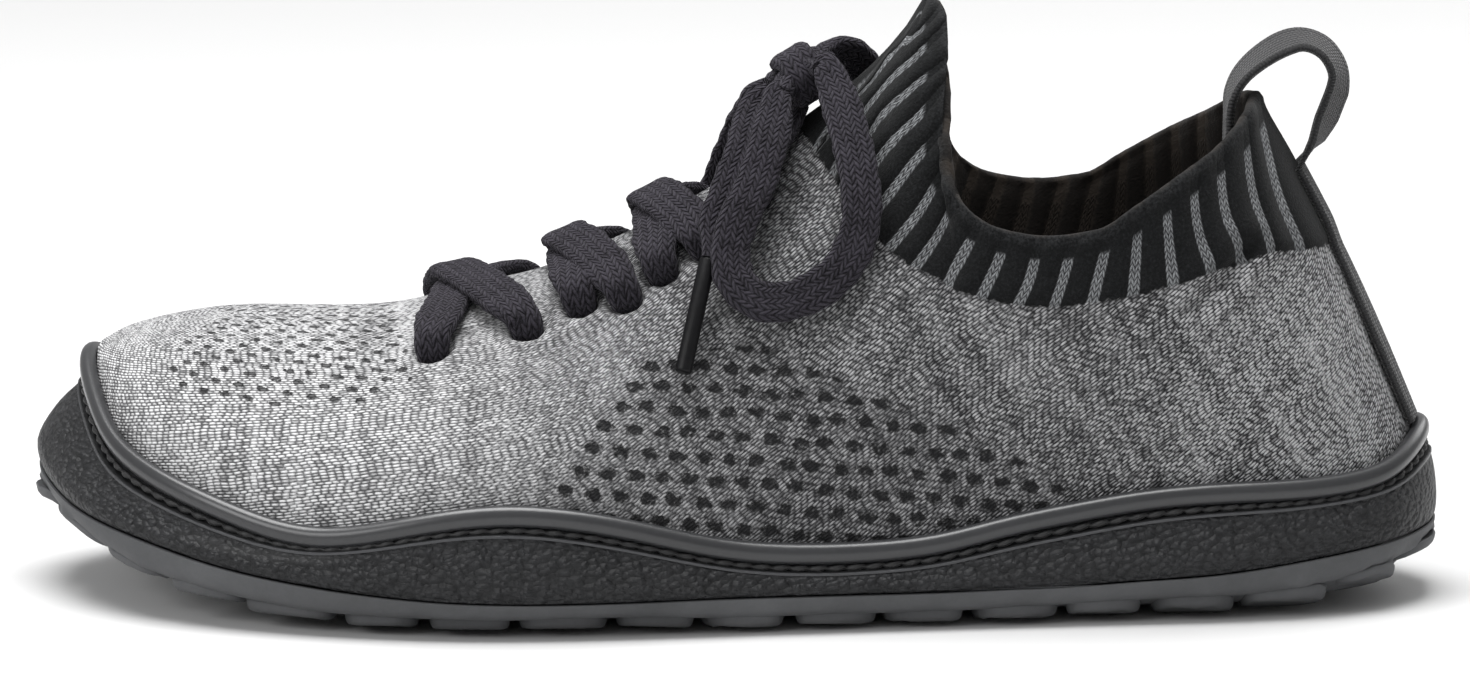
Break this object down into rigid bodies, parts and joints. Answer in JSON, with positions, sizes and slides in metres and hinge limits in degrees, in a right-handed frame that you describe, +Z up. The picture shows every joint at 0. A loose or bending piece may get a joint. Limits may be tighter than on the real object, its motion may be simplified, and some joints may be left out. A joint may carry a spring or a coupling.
{
  "type": "barefoot shoe",
  "caption": "Low left barefoot shoe: knitted sock upper with ribbed collar, tied lace, heel pull loop, thin flexible rubber sole with side wall and lugs.",
  "frame": {"origin": "on the floor under the middle of the shoe's length and width", "axes": "-X towards the toe, +X towards the heel, -Y towards the outer side of the foot, +Z up"},
  "size_m": [0.272, 0.1031, 0.1155],
  "materials": {
    "outsole": "matt black rubber",
    "sidewall": "satin black rubber, pebbled below a smooth bead",
    "upper": "grey melange knit",
    "insole": "dark brushed fabric on foam",
    "heel_tape": "woven black webbing",
    "lace": "charcoal tubular lace",
    "aglet": "black plastic film"
  },
  "bodies": {
    "root": {"outsole": "outsole", "sidewall": "sidewall", "upper": "upper", "insole": "insole", "heel_tape": "heel_tape", "lace_crossing_1": "lace", "lace_crossing_2": "lace", "lace_crossing_3": "lace", "lace_tie": "lace", "lace_knot": "lace", "lace_loop_near": "lace", "lace_loop_far": "lace", "lace_end_near": "lace", "lace_end_far": "lace", "aglet_near": "aglet", "aglet_far": "aglet"}
  },
  "joints": []
}
